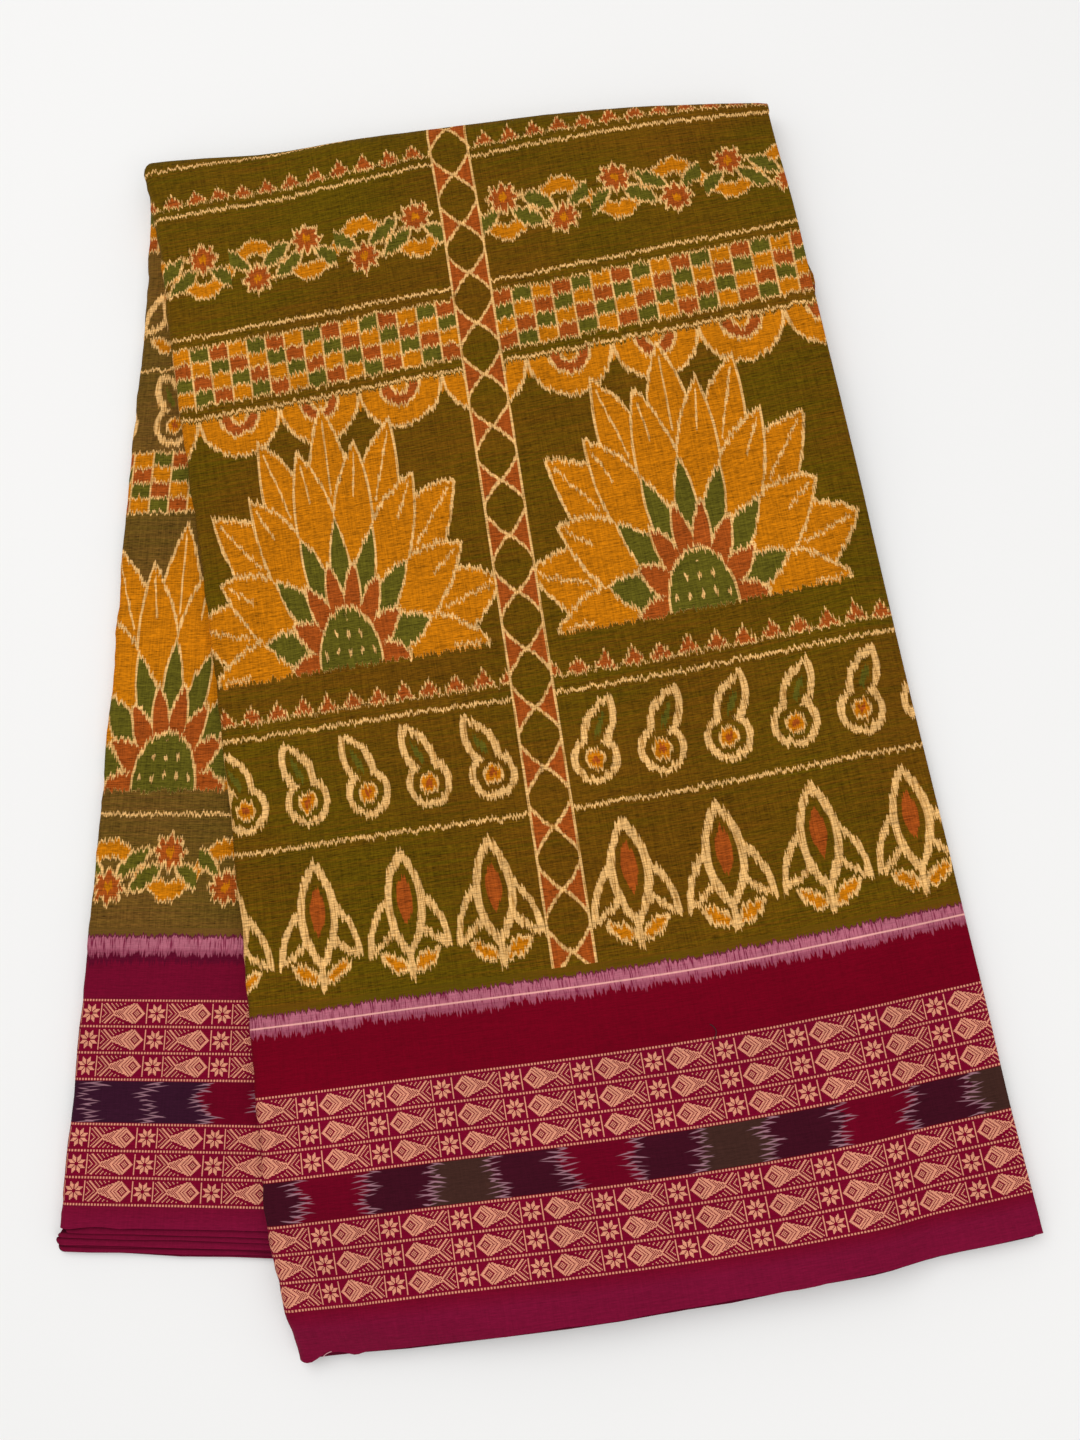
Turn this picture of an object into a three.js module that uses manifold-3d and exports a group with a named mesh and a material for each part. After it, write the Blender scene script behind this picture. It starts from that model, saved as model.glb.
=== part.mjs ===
// A saree folded for keeping: a 5.6 m length folded in half four times into a strip 350 mm wide,
// then turned over on itself once, so that an upper half lies on a lower half, a little askew.
// Millimetres, +Z up, the surface it lies on is z = 0. The lower half lies square to the axes,
// its hem towards -Y and the top fold towards +Y. The origin is under the middle of the whole.
import * as THREE from "three";
import { mergeVertices } from "three/addons/utils/BufferGeometryUtils.js";
import Module from "manifold-3d";

const wasm = await Module();
wasm.setup();

// ---- Driving sizes ---------------------------------------------------------------------------

const SAREE_LENGTH = 5600; // cut length of the cloth
const FOLDS_IN_HALF = 4; // how often that length is folded in half
const CLOTH_WIDTH = 1205; // hem to hem across the woven width
const HEM_LEAD = 32; // how much longer the upper half is than the lower one
const SPREAD = THREE.MathUtils.degToRad(10.2); // angle between the two halves
const BORDER = 155; // depth of the woven border, hem included
const BACK_BORDER = 139; // the same on the lower half, whose hem shows less

const PILE = 8.4; // thickness of one half, hem end
const CLOTH_WALL = 1.2; // thickness of a stretch that shows
const GAP = 0.3; // between pieces
const TURN_RADIUS = 0.15; // free radius inside the top fold
const FOLD_LOFT = 0.14; // extra thickness near the top fold, as a share
const EDGE_LOFT = 0.06; // extra thickness along the folded left edge, as a share
const SIDE_LAYERS = 5; // bundles of layers that can be told apart at the edges

// Where the lower half's left hem corner lies, seen from the origin.
const HEM_CORNER = new THREE.Vector2(-227.5, -271.8);

// Small departures from the straight, each at its largest.
const LOWER_WAIST = 3; // the lower half's left edge pulls in between its corners
const UPPER_WAIST = 8; // and so does the upper half's
const BOW = 5; // the upper half's crosswise threads sag towards the hem
const BORDER_EASE = 4.5; // the upper border's right end is drawn down to its hem
const CORNER_DROP = 9; // the right end of the top fold falls back
const CREST_DIP = 3; // and a dip near its left end does
const CORNER_CURL = 8; // the upper half's left hem corner curls in
const SHELF_X = 30; // how far the upper half stays up past the lower half's right edge
const SLOPE_X = 32; // run over which it then comes down to the surface
const SHELF_Y = 20; // the same two past the lower hem
const SLOPE_Y = 22;

// Hem steps of the lower half's layers, from the top one down: how far each reaches past the last.
const HEM_STEPS = [3.4, 2.1, 2.5, 1.3, 1.7];

// An inner layer that slips out at the right edge of the upper half.
const SLIP = { layer: 2, reach: 4, fromFold: 114, length: 14 };

// How far each bundle of hidden layers stops short of a seam, and of the upper half's hem.
const SEAM_STAGGER = [0, 0.2, 0.08, 0.26, 0.12];
const HEM_STAGGER = [1.1, 0.4, 0.9, 0.15, 0.6];

const ACROSS = 12; // spans across a half
const FIELD_STEPS = 16; // stations along a half's field
const BORDER_STEPS = 10; // stations along a border
const TURN_STEPS = 8; // stations round the top fold
const ROUND_STEPS = 4; // facets round a folded left edge

const COLOURS = {
  field: 0x6a4c12,
  border: 0x7d0c2c,
  fieldLayers: 0x5f4514,
  borderLayers: 0x6d0f2a,
};

// ---- Sizes worked out ------------------------------------------------------------------------

const WIDTH = SAREE_LENGTH / 2 ** FOLDS_IN_HALF; // 350 mm
const SKEW = SPREAD / 2; // the fold lies at half the spread to each half
const turnLength = Math.PI * (TURN_RADIUS + PILE / 2) * (1 + FOLD_LOFT); // round the top fold
const lowerMiddle = (CLOTH_WIDTH - turnLength - HEM_LEAD) / 2; // a half's length at mid-width
const upperMiddle = lowerMiddle + HEM_LEAD;
const midHeight = PILE + TURN_RADIUS; // height of the plane between the two halves
const hemStepTotal = HEM_STEPS.reduce((sum, step) => sum + step, 0);
const skin = CLOTH_WALL + GAP; // what a cloth that shows and its gap take from a half

const { clamp, lerp } = THREE.MathUtils;
const steps = (count) => Array.from({ length: count + 1 }, (_, i) => i / count);
const smooth = (from, to, x) => {
  const t = clamp((x - from) / (to - from), 0, 1);
  return t * t * (3 - 2 * t);
};

// Length of each half from its hem to the fold's axis, at u across from the left edge.
const lowerLength = (u) => lowerMiddle + (u - WIDTH / 2) * Math.tan(SKEW);
const upperLength = (u) => upperMiddle - (u - WIDTH / 2) * Math.tan(SKEW);

// ---- Where a point of the folded strip lies --------------------------------------------------
// u runs across from the left edge, v along a half from its hem, and w through the strip's
// thickness, from the face between the two halves (0) to the outer face (PILE).

const across = new THREE.Vector2(Math.cos(SPREAD), Math.sin(SPREAD)); // of the upper half
const towardsHem = new THREE.Vector2(Math.sin(SPREAD), -Math.cos(SPREAD));
const outOfFold = new THREE.Vector2(-Math.sin(SKEW), Math.cos(SKEW));

const loft = (u, fromFold) =>
  1 +
  FOLD_LOFT * Math.exp(-((fromFold / 50) ** 2)) +
  EDGE_LOFT * Math.exp(-((u / 40) ** 2)) * smooth(0, 120, fromFold);

const crestDrop = (u) =>
  CORNER_DROP * clamp((u - WIDTH + 122) / 122, 0, 1) ** 1.5 +
  CREST_DIP * Math.exp(-(((u - 72) / 38) ** 2));

function axisPoint(u) {
  const plan = new THREE.Vector2(HEM_CORNER.x + u, HEM_CORNER.y + lowerLength(u));
  return plan.addScaledVector(outOfFold, -crestDrop(u));
}

function lowerPlan(u, v) {
  const share = v / lowerLength(u);
  const waist = LOWER_WAIST * Math.sin(Math.PI * clamp(share, 0, 1)) * (1 - smooth(0, 90, u));
  const drop = crestDrop(u) * smooth(0.85, 1, share);
  const plan = new THREE.Vector2(HEM_CORNER.x + u + waist, HEM_CORNER.y + v);
  return plan.addScaledVector(outOfFold, -drop);
}

// Height of the plane between the halves at a place in plan: over the lower half it is that half's
// top, and beside it the upper half comes down to the surface.
function restHeight(plan) {
  const u = plan.x - HEM_CORNER.x;
  const v = plan.y - HEM_CORNER.y;
  const beside = 1 - smooth(WIDTH + SHELF_X, WIDTH + SHELF_X + SLOPE_X, u);
  const shelfEnd = -hemStepTotal - SHELF_Y;
  const past = smooth(shelfEnd - SLOPE_Y, shelfEnd, v);
  const inside = clamp(u, 0, WIDTH);
  const top = midHeight * loft(inside, Math.max(0, lowerLength(inside) - v));
  return lerp(-TURN_RADIUS, top, beside * past);
}

function placeLower(u, v, w) {
  const plan = lowerPlan(u, v);
  const height = (PILE - w) * loft(u, lowerLength(u) - v);
  return new THREE.Vector3(plan.x, plan.y, height);
}

function placeUpper(u, along, w) {
  const length = upperLength(u);
  const eased = smooth(60, 260, u) * smooth(0, 30, along) * (1 - smooth(250, 500, along));
  const v = along - BORDER_EASE * eased;
  const share = v / length;
  const q = u / WIDTH;
  const bow = BOW * 4 * q * (1 - q) * (1 - smooth(0, 1, share));
  const waist = UPPER_WAIST * Math.sin(Math.PI * clamp(share, 0, 1)) * (1 - smooth(0, 140, u));
  const curl = CORNER_CURL * (1 - smooth(0, 70, v)) * (1 - smooth(0, 60, u));
  const plan = axisPoint(u)
    .addScaledVector(towardsHem, length - v + bow)
    .addScaledVector(across, waist + curl);
  plan.addScaledVector(outOfFold, crestDrop(u) * (1 - smooth(0.85, 1, share)));
  const height = restHeight(plan) + (TURN_RADIUS + w) * loft(u, length - v);
  return new THREE.Vector3(plan.x, plan.y, height);
}

// turn is 0 where the fold leaves the lower half and PI where it meets the upper one.
function placeTurn(u, turn, w) {
  const scale = loft(u, 0);
  const radius = (TURN_RADIUS + w) * scale;
  const plan = axisPoint(u).addScaledVector(outOfFold, radius * Math.sin(turn));
  return new THREE.Vector3(plan.x, plan.y, midHeight * scale - radius * Math.cos(turn));
}

// ---- Stations: the lines across the strip through which every piece is lofted ------------------
// early and late trim a stretch at its end towards the hem and at its end towards the fold.

const lowerBorder = (early = 0, late = 0) =>
  steps(BORDER_STEPS).map((t) => ({
    place: (u, w) => placeLower(u, lerp(early, BACK_BORDER - GAP / 2 - late, t), w),
  }));
const lowerField = (early = 0, late = 0) =>
  steps(FIELD_STEPS).map((t) => ({
    place: (u, w) =>
      placeLower(u, lerp(BACK_BORDER + GAP / 2 + early, lowerLength(u) - late, t), w),
  }));
const turning = () =>
  steps(TURN_STEPS).map((t) => ({ place: (u, w) => placeTurn(u, t * Math.PI, w) }));
const upperField = (early = 0) =>
  steps(FIELD_STEPS)
    .reverse()
    .map((t) => ({
      fromFold: (1 - t) * (upperMiddle - BORDER),
      place: (u, w) => placeUpper(u, lerp(BORDER + GAP / 2 + early, upperLength(u), t), w),
    }));
const upperBorder = (early = 0, late = 0) =>
  steps(BORDER_STEPS)
    .reverse()
    .map((t) => ({
      place: (u, w) => placeUpper(u, lerp(early, BORDER - GAP / 2 - late, t), w),
    }));

// Places across that every stretch shares; each piece sets its own first and last one.
const inward = steps(ACROSS)
  .slice(1, -1)
  .map((t) => t * WIDTH);

// ---- Solids ------------------------------------------------------------------------------------

// A closed body between two faces. Each station gives the points of the outer and the inner face
// in order across, and the rims halfway between them at the first and the last point.
function loftBody(rings) {
  const positions = [];
  const index = [];
  const count = rings[0].outer.length;
  const perRing = 2 * count + 2;
  const at = (ring, i) => ring * perRing + i;
  const loop = [];
  for (let i = 0; i < count; i++) loop.push(i); // the outer face
  loop.push(2 * count); // the last rim
  for (let i = count - 1; i >= 0; i--) loop.push(count + i); // the inner face, back
  loop.push(2 * count + 1); // the first rim
  for (const { outer, inner, lastRim, firstRim } of rings)
    for (const p of [...outer, ...inner, lastRim, firstRim]) positions.push(p.x, p.y, p.z);
  for (let r = 0; r + 1 < rings.length; r++)
    for (let i = 0; i < loop.length; i++) {
      const j = (i + 1) % loop.length;
      const [a, b] = [at(r, loop[i]), at(r, loop[j])];
      const [c, d] = [at(r + 1, loop[i]), at(r + 1, loop[j])];
      // Both faces are split along the same diagonal, so that stacked bodies stay parallel.
      const onInner = i > count && j > count && j < 2 * count + 1;
      if (onInner) index.push(a, b, d, a, d, c);
      else index.push(a, b, c, b, d, c);
    }
  const cap = (ring, flip) => {
    const face = (a, b, c) => index.push(...(flip ? [a, c, b] : [a, b, c]));
    for (let i = 0; i + 1 < count; i++) {
      face(at(ring, i), at(ring, count + i), at(ring, i + 1));
      face(at(ring, i + 1), at(ring, count + i), at(ring, count + i + 1));
    }
    face(at(ring, 0), at(ring, 2 * count + 1), at(ring, count));
    face(at(ring, count - 1), at(ring, 2 * count - 1), at(ring, 2 * count));
  };
  cap(0, false);
  cap(rings.length - 1, true);
  return facingOut(positions, index);
}

function facingOut(positions, index) {
  const p = (i) => new THREE.Vector3().fromArray(positions, 3 * i);
  let sixVolumes = 0;
  for (let i = 0; i < index.length; i += 3)
    sixVolumes += p(index[i]).dot(p(index[i + 1]).cross(p(index[i + 2])));
  if (sixVolumes < 0)
    for (let i = 0; i < index.length; i += 3)
      [index[i + 1], index[i + 2]] = [index[i + 2], index[i + 1]];
  const geometry = new THREE.BufferGeometry();
  geometry.setAttribute("position", new THREE.Float32BufferAttribute(positions, 3));
  geometry.setIndex(index);
  return geometry;
}

// A stretch that shows: a wall along one face of the strip that turns round the folded left edge
// to the other face. outerSide says which face: the outer one, or the one between the halves.
function clothWall(stations, outerSide) {
  const edge = PILE / 2;
  const side = (w) => (outerSide ? w : PILE - w);
  const face = (inset) => {
    const points = [];
    for (const t of steps(ROUND_STEPS)) {
      const angle = -Math.PI / 2 + t * Math.PI; // from the far face round to this one
      points.push({
        u: edge - (edge - inset) * Math.cos(angle),
        w: side(edge + (edge - inset) * Math.sin(angle)),
      });
    }
    for (const u of [...inward, WIDTH - CLOTH_WALL / 2]) points.push({ u, w: side(PILE - inset) });
    return points;
  };
  const outline = { outer: face(0), inner: face(CLOTH_WALL) };
  const middle = CLOTH_WALL / 2;
  const lastRim = { u: WIDTH, w: side(PILE - middle) };
  const firstRim = { u: edge + CLOTH_WALL / 2, w: side(middle) };
  const put = (station) => (p) => station.place(p.u, p.w);
  return loftBody(
    stations.map((station) => ({
      outer: outline.outer.map(put(station)),
      inner: outline.inner.map(put(station)),
      lastRim: station.place(lastRim.u, lastRim.w),
      firstRim: station.place(firstRim.u, firstRim.w),
    })),
  );
}

// Where hidden layers may start across, at w through the strip: inside the folded left edge, and
// clear of the lip in which the cloth round that edge ends.
function startAcross(w) {
  const edge = PILE / 2;
  const hollow = edge - skin;
  const rise = w - edge;
  if (Math.abs(rise) >= hollow) return edge + CLOTH_WALL / 2 + GAP;
  return edge - Math.sqrt(hollow ** 2 - rise ** 2);
}

// One bundle of hidden layers between the heights low and high of the strip, its sides rounded.
// Each station has its own low and high, and may push the right edge out.
function layerBundle(stations, layer) {
  const overlap = 0.12; // bundles press into each other by this much
  return loftBody(
    stations.map((station) => {
      const { low, high } = station;
      const depth = (high - low) / SIDE_LAYERS;
      const bottom = low + layer * depth - (layer ? overlap : 0);
      const top = low + (layer + 1) * depth + (layer < SIDE_LAYERS - 1 ? overlap : 0);
      const middle = (bottom + top) / 2;
      const firstRim = Math.max(startAcross(bottom), startAcross(middle), startAcross(top));
      const lastRim = WIDTH - 0.3 + (station.slip && layer === SLIP.layer ? station.slip : 0);
      const bulge = 0.7 * depth;
      const row = (w) =>
        [firstRim + bulge, ...inward, lastRim - bulge].map((u) => station.place(u, w));
      return {
        outer: row(top),
        inner: row(bottom),
        lastRim: station.place(lastRim, middle),
        firstRim: station.place(firstRim, middle),
      };
    }),
  );
}

function toSolid(geometry) {
  const merged = mergeVertices(geometry, 1e-4);
  return new wasm.Manifold(
    new wasm.Mesh({
      numProp: 3,
      vertProperties: merged.attributes.position.array,
      triVerts: new Uint32Array(merged.index.array),
    }),
  );
}

function toGeometry(solid) {
  const mesh = solid.getMesh();
  const geometry = new THREE.BufferGeometry();
  geometry.setAttribute("position", new THREE.Float32BufferAttribute(mesh.vertProperties, 3));
  geometry.setIndex(new THREE.Uint32BufferAttribute(mesh.triVerts, 1));
  return geometry;
}

// Bundles joined into one solid. Where two pressed faces cross, a closed pocket finer than a thread
// may be left; it is filled by keeping the outer surface only.
function joined(geometries) {
  const bodies = geometries
    .map(toSolid)
    .reduce((all, next) => all.add(next))
    .decompose();
  return toGeometry(bodies.sort((a, b) => b.volume() - a.volume())[0]);
}

const bundles = (build) => joined(Array.from({ length: SIDE_LAYERS }, (_, i) => build(i)));

// ---- The pieces ----------------------------------------------------------------------------------

// Starts where the fold meets the surface, goes round it and down the upper half.
function frontField() {
  return clothWall([...turning(), ...upperField().slice(1)], true);
}

function frontBorder() {
  return clothWall(upperBorder(), true);
}

function backField() {
  return clothWall(lowerField(0, GAP), false);
}

function backBorder() {
  return clothWall(lowerBorder(), false);
}

// One hairpin: along the lower half under its cloth, round the top fold inside the outer cloth, and
// along the upper half.
function foldedLayers() {
  const slipAt = (fromFold) =>
    SLIP.reach * Math.exp(-(((fromFold - SLIP.fromFold) / SLIP.length) ** 2));
  return bundles((layer) => {
    const trim = SEAM_STAGGER[layer];
    const lower = lowerField(trim)
      .slice(0, -1)
      .map((s) => ({ ...s, low: skin, high: PILE }));
    const turn = turning().map((s) => ({ ...s, low: skin, high: PILE - skin }));
    const upper = upperField(trim)
      .slice(1)
      .map((s) => ({ ...s, low: 0, high: PILE - skin, slip: slipAt(s.fromFold) }));
    return layerBundle([...lower, ...turn, ...upper], layer);
  });
}

function frontHems() {
  return bundles((layer) => {
    const stations = upperBorder(HEM_STAGGER[layer], SEAM_STAGGER[layer]);
    return layerBundle(
      stations.map((s) => ({ ...s, low: 0, high: PILE - skin })),
      layer,
    );
  });
}

function backHems() {
  return bundles((layer) => {
    // Bundle 0 lies right under the cloth that shows, and each one below it reaches further out.
    const reach = HEM_STEPS.slice(0, layer + 1).reduce((sum, step) => sum + step, 0);
    const ledge = { place: (u, w) => placeLower(u, -reach, w) };
    const stations = [ledge, ...lowerBorder(0, SEAM_STAGGER[layer])];
    return layerBundle(
      stations.map((s) => ({ ...s, low: skin, high: PILE })),
      layer,
    );
  });
}

// ---- The saree -------------------------------------------------------------------------------------

const cloth = (color) => new THREE.MeshStandardMaterial({ color, roughness: 0.8, metalness: 0 });

const saree = new THREE.Group();
const pieces = [
  ["front_field", frontField(), COLOURS.field],
  ["front_border", frontBorder(), COLOURS.border],
  ["back_field", backField(), COLOURS.field],
  ["back_border", backBorder(), COLOURS.border],
  ["folded_layers", foldedLayers(), COLOURS.fieldLayers],
  ["front_hems", frontHems(), COLOURS.borderLayers],
  ["back_hems", backHems(), COLOURS.borderLayers],
];
for (const [name, geometry, colour] of pieces) {
  const mesh = new THREE.Mesh(geometry, cloth(colour));
  mesh.name = name;
  saree.add(mesh);
}

export default saree;
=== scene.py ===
"""A folded handloom saree: thin shells of cloth over its folded layers, with ikat and border."""
import math

import bpy
import numpy as np
from mathutils import Matrix, Vector


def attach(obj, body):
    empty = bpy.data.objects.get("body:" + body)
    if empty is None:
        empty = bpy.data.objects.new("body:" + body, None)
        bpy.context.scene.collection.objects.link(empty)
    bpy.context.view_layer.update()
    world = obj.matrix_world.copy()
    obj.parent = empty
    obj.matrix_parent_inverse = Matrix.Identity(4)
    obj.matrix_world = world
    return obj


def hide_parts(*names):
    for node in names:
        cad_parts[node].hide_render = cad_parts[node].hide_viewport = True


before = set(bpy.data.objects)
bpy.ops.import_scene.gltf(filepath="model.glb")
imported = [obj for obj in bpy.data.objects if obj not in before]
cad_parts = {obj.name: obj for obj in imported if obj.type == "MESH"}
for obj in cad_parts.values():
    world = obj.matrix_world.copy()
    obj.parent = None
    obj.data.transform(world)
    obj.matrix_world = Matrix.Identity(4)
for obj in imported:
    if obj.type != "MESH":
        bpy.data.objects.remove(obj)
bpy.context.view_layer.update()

# ---- Sizes, in millimetres as the cloth is measured ----

MM = 0.001
SAREE_LENGTH = 5600
FOLDS_IN_HALF = 4
CLOTH_WIDTH = 1205
HEM_LEAD = 32  # how much longer the upper half is than the lower one
SPREAD = math.radians(10.2)  # angle between the two halves
BORDER = 155  # depth of the front border
BACK_BORDER = 139
BACK_SHORT = 2.6  # how far the lower half's outer cloth stops short of its hem

PILE = 8.4  # thickness of one half
TURN_RADIUS = 0.15  # between the halves, at the top fold
FOLD_LOFT = 0.14  # share by which the layers swell at the top fold
EDGE_LOFT = 0.06  # and at the left edge
HEM_CORNER = np.array([-227.5, -271.8])  # the lower half's left hem corner

LOWER_WAIST = 3  # how far each half's left edge is drawn in halfway along
UPPER_WAIST = 8
BOW = 5  # how far the upper half's hem bows out
BORDER_EASE = 4.5  # and how much its border is eased towards the hem
CORNER_DROP = 9  # how far the top fold drops at its right corner
CREST_DIP = 3  # and dips near its left one
CORNER_CURL = 8  # how far the upper half's left hem corner swings in
FOLD_TUCK = 2.7  # how far the left edge is drawn in by the top fold
LOWER_TUCK, UPPER_TUCK = 200, 110  # and how far down each half
NEAR_FOLD = 0.85  # share of a half from which it follows the top fold's line
SHELF_X, SLOPE_X = 30, 32  # past the lower half's side, the upper one stays level and then slopes
SHELF_Y, SLOPE_Y = 20, 22  # and the same past its hem
HEM_STEPS_TOTAL = 11  # how far the lower half's layers reach past its hem

SHEET = 0.7  # thickness of the cloth that shows
LEAST_LIFT = -0.55  # how deep it sinks into its layers at most
EDGE_TUCK = 0.35  # how much its right edge is pressed down
LEAVES = 7  # bundles of hidden layers in a half
LEAF_GAP = 0.3  # between two of them
LEAF_CORNER = 3  # radius of their hem corners
PRESSED = 0.36  # share by which they lie closer together away from their edges
CELL = 2.4  # size of the shells' mesh

WIDTH = SAREE_LENGTH / 2**FOLDS_IN_HALF
SKEW = SPREAD / 2
turn_length = math.pi * (TURN_RADIUS + PILE / 2) * (1 + FOLD_LOFT)
lower_middle = (CLOTH_WIDTH - turn_length - HEM_LEAD) / 2
upper_middle = lower_middle + HEM_LEAD
mid_height = PILE + TURN_RADIUS
EDGE = PILE / 2  # radius of a folded left edge
TURN_SHOWN = 26  # how much cloth lies round the top fold


# ---- Where a point of the folded strip lies ----
# u runs across from the left edge, v along a half from its hem, and w through the thickness, from
# the face between the two halves (0) to the outer face (PILE). All three may be arrays.

def smooth(start, end, x):
    """Goes from 0 at start to 1 at end, level at both."""
    t = np.clip((x - start) / (end - start), 0, 1)
    return t * t * (3 - 2 * t)


def hump(x, middle, width):
    return np.exp(-(((x - middle) / width) ** 2))


def points_of(*coordinates):
    return np.stack(np.broadcast_arrays(*coordinates), axis=-1)


def lower_length(u):
    return lower_middle + (u - WIDTH / 2) * math.tan(SKEW)


def upper_length(u):
    return upper_middle - (u - WIDTH / 2) * math.tan(SKEW)


def loft(u, from_fold):
    """How much the layers swell where they are folded, as a factor."""
    at_fold = FOLD_LOFT * hump(from_fold, 0, 50)
    at_edge = EDGE_LOFT * hump(u, 0, 40) * smooth(0, 120, from_fold)
    return 1 + at_fold + at_edge


def crest_drop(u):
    """How far the top fold falls short of a straight line."""
    at_corner = CORNER_DROP * np.clip((u - WIDTH + 122) / 122, 0, 1) ** 1.5
    return at_corner + CREST_DIP * hump(u, 72, 38)


def fold_tuck(u, from_fold, reach):
    """How far the left edge is drawn in, up to reach from the top fold."""
    by_fold = smooth(-30, 40, from_fold) * (1 - smooth(0.4 * reach, reach, from_fold))
    return FOLD_TUCK * by_fold * (1 - smooth(0, 90, u))


def axis_point(u):
    """Where the top fold's axis lies."""
    drop = crest_drop(u)
    x = HEM_CORNER[0] + u + drop * math.sin(SKEW)
    y = HEM_CORNER[1] + lower_length(u) - drop * math.cos(SKEW)
    return x, y


def place_lower(u, v, w):
    share = v / lower_length(u)
    waist = LOWER_WAIST * np.sin(math.pi * np.clip(share, 0, 1)) * (1 - smooth(0, 90, u))
    drop = crest_drop(u) * smooth(NEAR_FOLD, 1, share)
    from_fold = lower_length(u) - v
    across = u + waist + fold_tuck(u, from_fold, LOWER_TUCK)
    x = HEM_CORNER[0] + across + drop * math.sin(SKEW)
    y = HEM_CORNER[1] + v - drop * math.cos(SKEW)
    z = (PILE - w) * loft(u, from_fold)
    return points_of(x, y, z)


def rest_height(x, y):
    """How high the upper half lies: on the lower half, and down a slope past its edges."""
    u = x - HEM_CORNER[0]
    v = y - HEM_CORNER[1]
    beside = 1 - smooth(WIDTH + SHELF_X, WIDTH + SHELF_X + SLOPE_X, u)
    shelf_end = -HEM_STEPS_TOTAL - SHELF_Y
    past = smooth(shelf_end - SLOPE_Y, shelf_end, v)
    inside = np.clip(u, 0, WIDTH)
    top = mid_height * loft(inside, np.maximum(0, lower_length(inside) - v))
    return -TURN_RADIUS + (top + TURN_RADIUS) * beside * past


def place_upper(u, along, w):
    length = upper_length(u)
    eased = smooth(60, 260, u) * smooth(0, 30, along) * (1 - smooth(250, 500, along))
    v = along - BORDER_EASE * eased
    share = v / length
    q = u / WIDTH
    bow = BOW * 4 * q * (1 - q) * (1 - smooth(0, 1, share))
    waist = UPPER_WAIST * np.sin(math.pi * np.clip(share, 0, 1)) * (1 - smooth(0, 140, u))
    curl = waist + CORNER_CURL * (1 - smooth(0, 70, v)) * (1 - smooth(0, 60, u))
    drop = crest_drop(u) * (1 - smooth(NEAR_FOLD, 1, share))
    reach = length - v + bow
    x, y = axis_point(u)
    x = x + math.sin(SPREAD) * reach + math.cos(SPREAD) * curl - math.sin(SKEW) * drop
    x = x + fold_tuck(u, length - v, UPPER_TUCK)
    y = y - math.cos(SPREAD) * reach + math.sin(SPREAD) * curl + math.cos(SKEW) * drop
    z = rest_height(x, y) + (TURN_RADIUS + w) * loft(u, length - v)
    return points_of(x, y, z)


def place_turn(u, turn, w):
    scale = loft(u, 0)
    radius = (TURN_RADIUS + w) * scale
    x, y = axis_point(u)
    x = x - math.sin(SKEW) * radius * np.sin(turn) + fold_tuck(u, 0, LOWER_TUCK)
    y = y + math.cos(SKEW) * radius * np.sin(turn)
    z = mid_height * scale - radius * np.cos(turn)
    return points_of(x, y, z)


# ---- Uneven things ----

HILLS = 64  # in a row, before they come again


def unevenness(u, v, size_u, size_v, seed):
    """Smooth random hills from -1 to 1, size_u by size_v mm each."""
    hills = np.random.default_rng(seed).uniform(-1, 1, (HILLS, HILLS))
    a, b = np.broadcast_arrays(u / size_u + 20, v / size_v + 20)
    i, j = np.floor(a).astype(int), np.floor(b).astype(int)
    s, t = smooth(0, 1, a - i), smooth(0, 1, b - j)

    def hill(di, dj):
        return hills[(i + di) % HILLS, (j + dj) % HILLS]

    near = hill(0, 0) * (1 - s) * (1 - t) + hill(1, 0) * s * (1 - t)
    return near + hill(0, 1) * (1 - s) * t + hill(1, 1) * s * t


def drift(v, shift, size, seed):
    """One number that drifts with v in swings of size mm, from -1 to 1."""
    return float(unevenness(np.array(v), np.array(shift), size, 9, seed))


# Soft creases: from one place on the cloth to another, how wide, and how high (below 0: a trough).
CREASES = {
    "front": [
        # u0, v0, u1, v1, width, height
        (6, 372, 74, 352, 7, 0.5),
        (4, 358, 60, 341, 6, -0.4),
        (8, 392, 48, 384, 5, 0.35),
        (2, 300, 42, 318, 9, 0.4),
        (30, 470, 92, 455, 12, -0.35),
        (250, 560, 338, 534, 10, 0.5),
        (262, 540, 340, 512, 8, -0.4),
        (286, 398, 342, 408, 12, 0.5),
        (300, 280, 343, 262, 9, -0.4),
        (180, 330, 205, 150, 22, 0.45),
        (92, 240, 118, 60, 20, -0.35),
        (60, 40, 150, 22, 10, 0.3),
        (4, 70, 44, 10, 12, 0.9),
        (2, 40, 26, 4, 7, -0.5),
        (270, 44, 338, 20, 12, 0.35),
        (330, 600, 250, 590, 9, 0.5),
        (20, 596, 120, 604, 8, 0.4),
        (140, 612, 230, 600, 7, -0.35),
    ],
    "back": [
        (4, 330, 60, 318, 8, 0.5),
        (2, 312, 44, 306, 6, -0.45),
        (6, 250, 70, 262, 10, 0.4),
        (3, 196, 52, 182, 8, 0.4),
        (10, 150, 80, 141, 9, -0.35),
        (2, 96, 40, 104, 8, 0.45),
        (30, 30, 110, 18, 9, 0.4),
        (6, 430, 38, 424, 7, 0.4),
    ],
}


def crease_height(u, v, creases):
    total = 0
    for u0, v0, u1, v1, width, height in creases:
        length = math.hypot(u1 - u0, v1 - v0)
        along = ((u - u0) * (u1 - u0) + (v - v0) * (v1 - v0)) / length**2
        aside = ((u - u0) * (v1 - v0) - (v - v0) * (u1 - u0)) / length
        wander = 0.25 * width * np.sin(5 * along + u0)
        ends = smooth(-0.25, 0.25, along) * (1 - smooth(0.75, 1.25, along))
        total = total + height * ends * hump(aside, -wander, 0.5 * width)
    return total


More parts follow.
